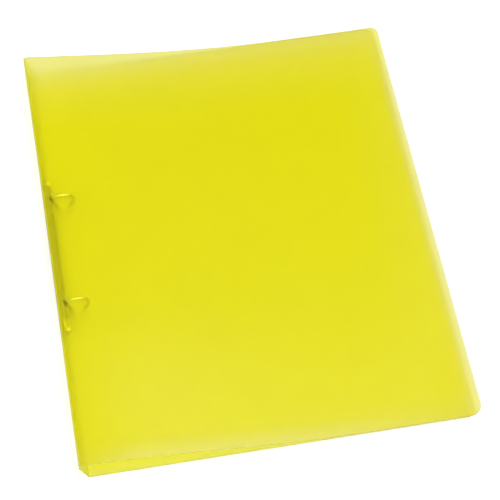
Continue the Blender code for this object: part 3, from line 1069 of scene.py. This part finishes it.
def pressed_place(across_share, along):
    """Mid-steel place of a point of the blank, in the mechanism's frame."""
    flat = smooth_share((abs(along) - ARCH_HALF) / PLATE_RAMP)
    tongue = max(abs(along) - ARCH_HALF - PLATE_RAMP, 0.0) / PLATE_FOOT
    foot_half = PLATE_FOOT_WIDTH / 2 * math.sqrt(1 - (FOOT_ROUNDING * tongue) ** 2)
    half = (PLATE_WIDTH - PLATE_STEEL) / 2 * (1 - flat) + foot_half * flat
    shoulder = SIDE_TOP * (1 - flat) + SIDE_FOOT * flat
    crown = (PLATE_RISE - PLATE_SHOULDER) * (1 - flat)
    side = 1 if across_share > 0 else -1
    turn = min(abs(across_share), 1.0) * math.pi / 2
    over = max(abs(across_share) - 1, 0.0) / SIDE_STEP
    height = shoulder + crown * math.cos(turn) + (SIDE_FOOT - shoulder) * min(over, 1.0)
    offset = half * math.sin(turn) - LIP_WIDTH * max(over - 1, 0.0)
    return Vector((height, along, side * offset))


def punched_out(middle):
    """True for a cell that is cut away: the ring slots, and the sides and lips at the ends."""
    place = abs(middle.x)
    along = abs(middle.y)
    in_slot = abs(along - RING_PLACE) < SLOT_HALF and SLOT_START < place < SLOT_END
    past_side = along > SIDE_END and place > 1
    past_lip = along > ARCH_HALF and place > 1 + SIDE_STEP
    return in_slot or past_side or past_lip


print(f"crown of the plate: {pressed_place(0.0, 0.0).x / MM:.2f} mm above the spine")

# %% [markdown]
# ## The arched plate: its finish and its mesh
#
# The plate has the pressed nickel finish. Its turned-down sides are painted darker than its crown: painted
# shade, which a function lays on by the distance from the middle line. The blank is a grid, cut closely
# where the steel bends. Cells are punched by deleting them, the rest is pressed by moving its vertices,
# and the modifiers give it the steel's thickness.

# %% Arched plate
PRESSED_FINISH = {
    "bright": (0.9, 0.88, 0.8, 1),
    "dull": (0.78, 0.76, 0.69, 1),
    "roughness": 0.24,
    "stretch": 0.02,
    "amount": 0.5,
}
# Painted shade: the darker colour of the plate's turned-down sides, over this band from the middle line.
SIDE_SHADE_COLOUR = (0.4, 0.395, 0.37, 1)
SIDE_SHADE_BAND = (5.2 * MM, 6.0 * MM)
PLATE_EDGE = 0.12 * MM
ARCH_CELLS = 40
RAMP_ROWS = 9
FOOT_ROWS = 6
MIDDLE_ROWS = 11


# Paints shade on the plate's sides: darker with distance from the middle line.
def paint_side_shade(tree, place, colour):
    offset = add_node(tree, "ShaderNodeVectorMath", {"operation": "SUBTRACT"})
    feed(tree, offset.inputs[0], place)
    feed(tree, offset.inputs[1], seat)
    reach = add_node(tree, "ShaderNodeVectorMath", {"operation": "DOT_PRODUCT"})
    feed(tree, reach.inputs[0], offset.outputs[0])
    feed(tree, reach.inputs[1], across)
    distance = add_math(tree, "ABSOLUTE", reach.outputs["Value"])
    return add_mix(tree, add_range(tree, distance, *SIDE_SHADE_BAND), colour, SIDE_SHADE_COLOUR)


def cut_plate_blank():
    """The flat blank as a grid, with a cut at every bend and at the sides of the slots."""
    bm = bmesh.new()
    bmesh.ops.create_grid(bm, x_segments=1, y_segments=1, size=1)
    bmesh.ops.scale(bm, vec=(1 + SIDE_STEP * 2, PLATE_LENGTH / 2, 1), verts=bm.verts)
    shares = [1 + SIDE_STEP, SLOT_END, 1, SLOT_START]
    shares += [-share for share in shares]
    cut_across(bm, (1, 0, 0), shares + spread(-1, 1, ARCH_CELLS - 1))
    ramp_end = ARCH_HALF + PLATE_RAMP
    alongs = [ARCH_HALF, *spread(ARCH_HALF, ramp_end, RAMP_ROWS), SIDE_END, ramp_end]
    alongs += spread(ramp_end, PLATE_LENGTH / 2, FOOT_ROWS)
    alongs += [RING_PLACE - SLOT_HALF, RING_PLACE + SLOT_HALF]
    alongs += [-along for along in alongs]
    cut_across(bm, (0, 1, 0), alongs + spread(-RING_PLACE, RING_PLACE, MIDDLE_ROWS))
    return bm


def make_plate():
    bm = cut_plate_blank()
    cells = [face for face in bm.faces if punched_out(face.calc_center_median())]
    bmesh.ops.delete(bm, geom=cells, context="FACES")
    for vert in bm.verts:
        vert.co = pressed_place(vert.co.x, vert.co.y)
    bmesh.ops.transform(bm, matrix=MECHANISM, verts=bm.verts)
    material = make_steel_material("pressed_nickel_plate", **PRESSED_FINISH, shade=paint_side_shade)
    piece = place_piece("arched_plate", bm, material)
    give_wall(piece, PLATE_STEEL, PLATE_EDGE)
    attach(piece, "spine_panel")
    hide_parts("ring_plate")
    return piece


arched_plate = make_plate()
print("arched plate:", len(arched_plate.data.polygons), "faces")

# %% [markdown]
# ## The half-rings
#
# Each ring is two bent wires that meet away from the spine. A curve with a round section could make
# them, but we need an end face to work on. So a circle of the wire's size is spun round the ring's
# middle, from the tip to the heel on the blade. The tip of the front half ends in a small peg and that
# of the back half in the hole it goes into, which is what keeps real rings in line when they close.
# Both are the same step, because the peg and the hole point the same way, towards the back cover.

# %% Half-rings
RING_BORE = 11.6 * MM
WIRE_RADIUS = 1.1 * MM
RING_RADIUS = RING_BORE / 2 + WIRE_RADIUS
TIP_GAP = 0.06 * MM
HEEL_OFFSET = 2.8 * MM
TIP_TURN = math.asin(TIP_GAP / 2 / RING_RADIUS)
HEEL_TURN = math.pi - math.asin(HEEL_OFFSET / RING_RADIUS)
PEG_SHARE = 0.5
PEG_LENGTH = 0.9 * MM
PEG_WAY = Vector((0, 0, -1))
PEG_TAPER = 0.75
WIRE_SIDES = 28
RING_STEPS = 56
END_SIGNS = {"head": 1, "tail": -1}
SIDE_SIGNS = {"front": 1, "back": -1}


def bend_wire(side, middle, tip):
    """A capped wire bent round the ring's middle, from its tip to its heel."""
    bm = bmesh.new()
    bmesh.ops.create_circle(bm, segments=WIRE_SIDES, radius=WIRE_RADIUS)
    tilt = Matrix.Rotation(side * TIP_TURN, 3, "Y")
    bmesh.ops.rotate(bm, cent=(0, 0, 0), matrix=tilt, verts=bm.verts)
    bmesh.ops.translate(bm, vec=tip, verts=bm.verts)
    bmesh.ops.spin(
        bm,
        geom=bm.verts[:] + bm.edges[:],
        cent=middle,
        axis=(0, -side, 0),
        angle=HEEL_TURN - TIP_TURN,
        steps=RING_STEPS,
    )
    bmesh.ops.holes_fill(bm, edges=[edge for edge in bm.edges if edge.is_boundary], sides=0)
    bmesh.ops.recalc_face_normals(bm, faces=bm.faces)
    return bm


def end_face(bm, point):
    return min(bm.faces, key=lambda face: (face.calc_center_median() - point).length)


def form_tip(bm, tip):
    """The peg of a front half, or the hole of a back half."""
    cap = end_face(bm, tip)
    bmesh.ops.inset_region(bm, faces=[cap], thickness=WIRE_RADIUS * PEG_SHARE, use_even_offset=True)
    peg = bmesh.ops.extrude_discrete_faces(bm, faces=[end_face(bm, tip)])["faces"][0]
    bmesh.ops.translate(bm, vec=PEG_WAY * PEG_LENGTH, verts=peg.verts)
    centred = Matrix.Translation(-peg.calc_center_median())
    bmesh.ops.scale(bm, vec=(PEG_TAPER, PEG_TAPER, PEG_TAPER), space=centred, verts=peg.verts)
    bmesh.ops.recalc_face_normals(bm, faces=bm.faces)


def make_half_ring(name, side, along, node, body):
    middle = Vector((RING_HEIGHT, along, 0))
    tip = middle + Vector((math.cos(TIP_TURN), 0, side * math.sin(TIP_TURN))) * RING_RADIUS
    bm = bend_wire(side, middle, tip)
    form_tip(bm, tip)
    bmesh.ops.transform(bm, matrix=MECHANISM, verts=bm.verts)
    piece = place_piece(name, bm, DRAWN_STEEL)
    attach(piece, body)
    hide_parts(node)
    return piece


for end_name, end_sign in END_SIGNS.items():
    for side_name, side_sign in SIDE_SIGNS.items():
        ring = make_half_ring(
            f"{end_name}_{side_name}_wire",
            side_sign,
            end_sign * RING_PLACE,
            f"{end_name}_ring_{side_name}_half",
            f"{side_name}_jaw",
        )
        print(ring.name, len(ring.data.polygons), "faces")

# %% [markdown]
# ## The rivets
#
# Two tubular rivets hold the plate's feet on the spine. Stacked cylinders would show hard steps, so a
# rivet is turned as on a lathe: a half outline is spun a full turn. Its domed head shows outside the
# spine, and its hollow end is rolled over inside.

# %% Rivets
RIVET_PLACE = PLATE_LENGTH / 2 - PLATE_FOOT / 2
RIVET_HEAD = 4.0 * MM
RIVET_HEAD_RISE = 0.9 * MM
RIVET_SHANK = 1.5 * MM
RIVET_BORE = 0.9 * MM
RIVET_RIM = 2.6 * MM
RIVET_RIM_RISE = 1.7 * MM
RIVET_ARC = 10
ROUND_STEPS = 48


def rivet_outline():
    """The half outline as (height, radius), from the floor of the bore to the top of the head."""
    rim_low = SEAT_GAP * 2 + PLATE_STEEL
    head_top = -SHEET - SEAT_GAP
    rim_middle = (RIVET_BORE + RIVET_RIM) / 2
    rim_half = (RIVET_RIM - RIVET_BORE) / 2
    outline = [(head_top, 0.0), (head_top, RIVET_BORE)]
    for step in range(RIVET_ARC + 1):
        turn = math.pi * step / RIVET_ARC
        outline.append((rim_low + RIVET_RIM_RISE * math.sin(turn), rim_middle - rim_half * math.cos(turn)))
    outline += [(rim_low, RIVET_SHANK), (head_top, RIVET_SHANK)]
    for step in range(RIVET_ARC + 1):
        turn = math.pi / 2 * step / RIVET_ARC
        outline.append((head_top - RIVET_HEAD_RISE * math.sin(turn), RIVET_HEAD * math.cos(turn)))
    return outline


def make_rivet(name, along, node):
    bm = bmesh.new()
    points = [bm.verts.new((height, radius, 0)) for height, radius in rivet_outline()]
    edges = [bm.edges.new(pair) for pair in zip(points, points[1:])]
    bmesh.ops.spin(
        bm,
        geom=points + edges,
        axis=(1, 0, 0),
        cent=(0, 0, 0),
        angle=2 * math.pi,
        steps=ROUND_STEPS,
        use_merge=True,
    )
    bmesh.ops.remove_doubles(bm, verts=bm.verts, dist=NEAR)
    bmesh.ops.recalc_face_normals(bm, faces=bm.faces)
    bmesh.ops.translate(bm, vec=(0, along, 0), verts=bm.verts)
    bmesh.ops.transform(bm, matrix=MECHANISM, verts=bm.verts)
    piece = place_piece(name, bm, DRAWN_STEEL)
    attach(piece, "spine_panel")
    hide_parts(node)
    return piece


for end_name, end_sign in END_SIGNS.items():
    rivet = make_rivet(f"{end_name}_tube_rivet", end_sign * RIVET_PLACE, f"{end_name}_rivet")
    print(rivet.name, len(rivet.data.polygons), "faces")

# %% [markdown]
# ## The blades
#
# The blades under the plate are plain flat bars that carry the half-rings. They could be built again,
# but the frame's own solids are right as they are, so they only take the darker blade steel, as painted
# shade in the ring slots.

# %% Blades
for blade_name in ("blade_front", "blade_back"):
    blade = nodes[blade_name]
    blade.data.materials.clear()
    blade.data.materials.append(SHADED_BLADE_STEEL)
    print(blade_name, "takes", SHADED_BLADE_STEEL.name)
